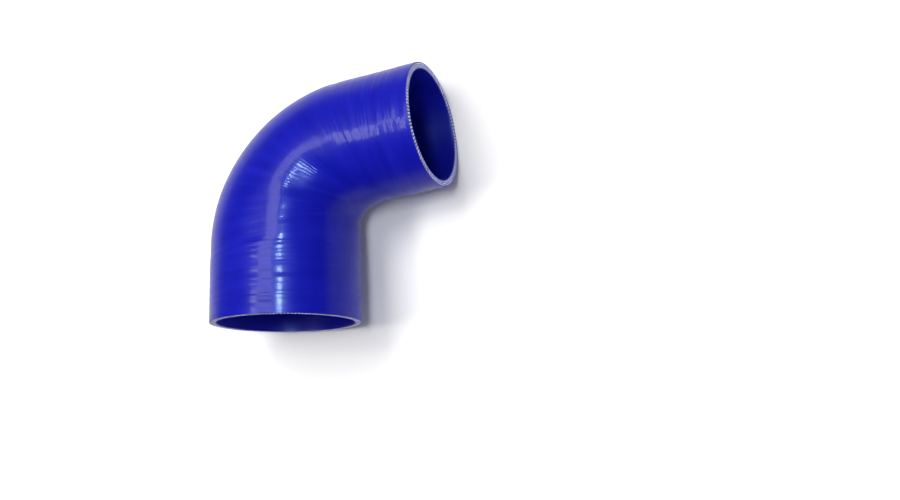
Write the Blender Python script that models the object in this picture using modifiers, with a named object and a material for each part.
"""Reducing elbow hose of silicone rubber over wrapped fabric plies, cured and trimmed as one piece.

The hose is drawn first in its bend plane: the large leg's axis is +Y with its mouth at y = 0, and the bend
turns towards +X. Two rails are worked out in that plane, one along the back of the bend and one along its
throat. Each section is an oval that touches both rails, so the tight throat and the broad back keep their own
radii while the bore narrows through the bend.

The hose then lies on its side as it comes to rest on a bench, on the start of its bend and the small mouth's
rim. The origin is on the bench under the middle of the hose, with +Z up and the large leg's mouth towards -Y.
"""

import math

import bmesh
import bpy
import numpy as np
from mathutils import Matrix, Vector

# Driving dimensions, in metres and degrees.
LARGE_BORE = 0.080  # inside diameter of the large leg
SMALL_BORE = 0.065  # inside diameter of the small leg
WALL = 0.004  # liner, plies and cover together
BEND_DEGREES = 83.0  # how far the hose turns
LARGE_LEG = 0.097  # from where the leg axes cross to the large mouth
SMALL_LEG = 0.094  # from where the leg axes cross to the small mouth
BACK_RADIUS = 0.0985  # outside of the bend, on the back
THROAT_RADIUS = 0.008  # outside of the bend, in the throat
BACK_SHOULDER_DEGREES = 10.0  # last part of the turn on the back, taken more tightly as a soft corner
THROAT_SHOULDER_DEGREES = 7.5  # last part of the turn in the throat
SHOULDER_RADIUS = 0.045  # how tightly both of those run into the small leg
THROAT_CONE = 0.007  # straight stretch between the throat's arc and its shoulder
CLAMP_LAND = 0.022  # true cylinder at each mouth, where a hose clamp sits
LEG_DRAW = 0.0005  # how far the wrap pulls each leg in on radius, from the clamp land to the bend
EDGE_BREAK = 0.0003  # width of the broken edge that the trimming blade leaves at each mouth

# How finely the surface is drawn.
SIDES = 64
LEG_STEPS = 3
BEND_STEPS = 26

UNDERSIDE = 0.9  # how squarely a face of the hull looks down from the bend plane to count as its underside

LARGE_RADIUS = LARGE_BORE / 2 + WALL
SMALL_RADIUS = SMALL_BORE / 2 + WALL
BEND = math.radians(BEND_DEGREES)

RUBBER_BLUE = (0.008, 0.009, 0.38, 1.0)


def heading(angle):
    """Unit vector in the bend plane, turned from the large leg's axis towards the small leg's."""
    return Vector((math.sin(angle), math.cos(angle)))


def walk(stretches, distance):
    """Where a walk ends that starts at the origin heading along +Y. Each stretch is its length and its turn."""
    place = Vector((0, 0))
    angle = 0
    for length, turn in stretches:
        walked = min(distance, length)
        turned = turn * walked / length
        chord = walked * math.sin(turned / 2) / (turned / 2) if turned else walked
        place += chord * heading(angle + turned / 2)
        angle += turned
        distance -= walked
    return place


def rail(side, stretches):
    """One side's outline in the bend plane, from the large mouth to the small one.

    side is -1 for the back and +1 for the throat, and the stretches are those of the bend. The bend starts at
    the height on the large leg from which it comes out on the small leg's own line.
    """
    small_axis = heading(BEND)
    small_side = Vector((math.cos(BEND), -math.sin(BEND))) * side
    crossing = Vector((0, LARGE_LEG))

    large_mouth = Vector((side * LARGE_RADIUS, 0))
    large_land_end = large_mouth + Vector((0, CLAMP_LAND))
    small_mouth = crossing + small_axis * SMALL_LEG + small_side * SMALL_RADIUS
    small_land_end = small_mouth - small_axis * CLAMP_LAND

    large_line = Vector((side * (LARGE_RADIUS - LEG_DRAW), 0))
    small_line = crossing + small_side * (SMALL_RADIUS - LEG_DRAW)
    length = sum(stretch for stretch, _ in stretches)
    bend_run = walk(stretches, length)
    rise = (small_line - large_line - bend_run).dot(small_side) / small_side.y
    bend_start = large_line + Vector((0, rise))
    bend_end = bend_start + bend_run

    large_leg = [large_mouth.lerp(large_land_end, i / LEG_STEPS) for i in range(LEG_STEPS)]
    large_draw = [large_land_end.lerp(bend_start, i / LEG_STEPS) for i in range(LEG_STEPS)]
    bend = [bend_start + walk(stretches, length * i / BEND_STEPS) for i in range(BEND_STEPS)]
    small_draw = [bend_end.lerp(small_land_end, i / LEG_STEPS) for i in range(LEG_STEPS)]
    small_leg = [small_land_end.lerp(small_mouth, i / LEG_STEPS) for i in range(LEG_STEPS + 1)]
    return large_leg + large_draw + bend + small_draw + small_leg


def eased(share):
    """A share from 0 to 1 that sets off and arrives without a corner."""
    return share * share * (3 - 2 * share)


def half_widths():
    """Half the hose's width square to the bend plane, at each point of a rail."""
    large_neck = LARGE_RADIUS - LEG_DRAW
    small_neck = SMALL_RADIUS - LEG_DRAW
    large_leg = [LARGE_RADIUS] * LEG_STEPS
    large_draw = [LARGE_RADIUS + (large_neck - LARGE_RADIUS) * i / LEG_STEPS for i in range(LEG_STEPS)]
    bend = [large_neck + (small_neck - large_neck) * eased(i / BEND_STEPS) for i in range(BEND_STEPS)]
    small_draw = [small_neck + (SMALL_RADIUS - small_neck) * i / LEG_STEPS for i in range(LEG_STEPS)]
    small_leg = [SMALL_RADIUS] * (LEG_STEPS + 1)
    return large_leg + large_draw + bend + small_draw + small_leg


def outer_skin():
    """The outside of the hose as an open tube: an oval at each pair of rail points, bridged to the next."""
    back_shoulder = math.radians(BACK_SHOULDER_DEGREES)
    throat_shoulder = math.radians(THROAT_SHOULDER_DEGREES)
    back_turn = BEND - back_shoulder
    throat_turn = BEND - throat_shoulder
    back = rail(-1, [
        (BACK_RADIUS * back_turn, back_turn),
        (SHOULDER_RADIUS * back_shoulder, back_shoulder),
    ])
    throat = rail(1, [
        (THROAT_RADIUS * throat_turn, throat_turn),
        (THROAT_CONE, 0),
        (SHOULDER_RADIUS * throat_shoulder, throat_shoulder),
    ])
    bm = bmesh.new()
    before = []
    for outside, inside, half_width in zip(back, throat, half_widths()):
        centre = (outside + inside) / 2
        across = (inside - outside) / 2
        along = across.orthogonal().normalized()
        place = Matrix((
            (across.x, 0, along.x, centre.x),
            (across.y, 0, along.y, centre.y),
            (0, half_width, 0, 0),
            (0, 0, 0, 1),
        ))
        made = bmesh.ops.create_circle(bm, segments=SIDES, radius=1, matrix=place)
        ring = list({edge for vert in made["verts"] for edge in vert.link_edges})
        if before:
            bmesh.ops.bridge_loops(bm, edges=before + ring)
        before = ring
    bmesh.ops.recalc_face_normals(bm, faces=bm.faces)
    mesh = bpy.data.meshes.new("elbow_hose")
    bm.to_mesh(mesh)
    bm.free()
    return mesh


def centre_of_mass(shell):
    """Centroid of a closed mesh, from the tetrahedron that each triangle makes with the origin."""
    moment = Vector()
    volume = 0
    for loops in shell.calc_loop_triangles():
        a, b, c = (loop.vert.co for loop in loops)
        share = a.dot(b.cross(c)) / 6
        moment += share * (a + b + c) / 4
        volume += share
    return moment / volume


def resting_side(shell):
    """Direction that ends up facing down: of the convex hull's normals, the one that puts the hose's centre of
    mass lowest. Only the hull's underside counts, so the hose lies on its side and doesn't stand on a mouth.
    """
    centre = centre_of_mass(shell)
    hull = bmesh.new()
    for vert in shell.verts:
        hull.verts.new(vert.co - centre)
    bmesh.ops.convex_hull(hull, input=hull.verts)
    hull.normal_update()
    points = np.array([vert.co for vert in hull.verts])
    sides = np.array([face.normal for face in hull.faces if face.normal.z < -UNDERSIDE])
    hull.free()
    heights = (sides @ points.T).max(axis=1)
    return Vector(sides[heights.argmin()])


def lay_on_bench(hose):
    """Turns the hose to its rest, keeps the large leg's axis in the YZ plane, and sets it over the origin."""
    bpy.context.view_layer.update()
    shell = bmesh.new()
    shell.from_object(hose, bpy.context.evaluated_depsgraph_get())
    settle = resting_side(shell).rotation_difference(Vector((0, 0, -1))).to_matrix()
    leg_axis = settle @ Vector((0, 1, 0))
    square_up = Matrix.Rotation(math.atan2(leg_axis.x, leg_axis.y), 3, "Z")
    turn = square_up @ settle

    points = [turn @ vert.co for vert in shell.verts]
    shell.free()
    low = Vector(min(values) for values in zip(*points))
    high = Vector(max(values) for values in zip(*points))
    place = Vector((-(low.x + high.x) / 2, -(low.y + high.y) / 2, -low.z))
    hose.matrix_world = Matrix.Translation(place) @ turn.to_4x4()


def silicone():
    material = bpy.data.materials.new("blue_silicone")
    material.use_nodes = True
    shader = material.node_tree.nodes["Principled BSDF"]
    shader.inputs["Base Color"].default_value = RUBBER_BLUE
    shader.inputs["Roughness"].default_value = 0.3
    shader.inputs["Metallic"].default_value = 0
    material.diffuse_color = RUBBER_BLUE
    return material


def main():
    for old in list(bpy.data.objects):
        bpy.data.objects.remove(old)
    parts = bpy.data.collections.new("silicone_elbow_hose")
    bpy.context.scene.collection.children.link(parts)

    hose = bpy.data.objects.new("elbow_hose", outer_skin())
    parts.objects.link(hose)
    hose.data.materials.append(silicone())
    hose.data.shade_smooth()

    wall = hose.modifiers.new("wall", "SOLIDIFY")
    wall.thickness = WALL
    wall.offset = -1
    wall.use_even_offset = True

    edge = hose.modifiers.new("edge_break", "BEVEL")
    edge.width = EDGE_BREAK
    edge.segments = 1
    edge.limit_method = "ANGLE"
    edge.angle_limit = math.radians(60)
    edge.harden_normals = True
    lay_on_bench(hose)


main()
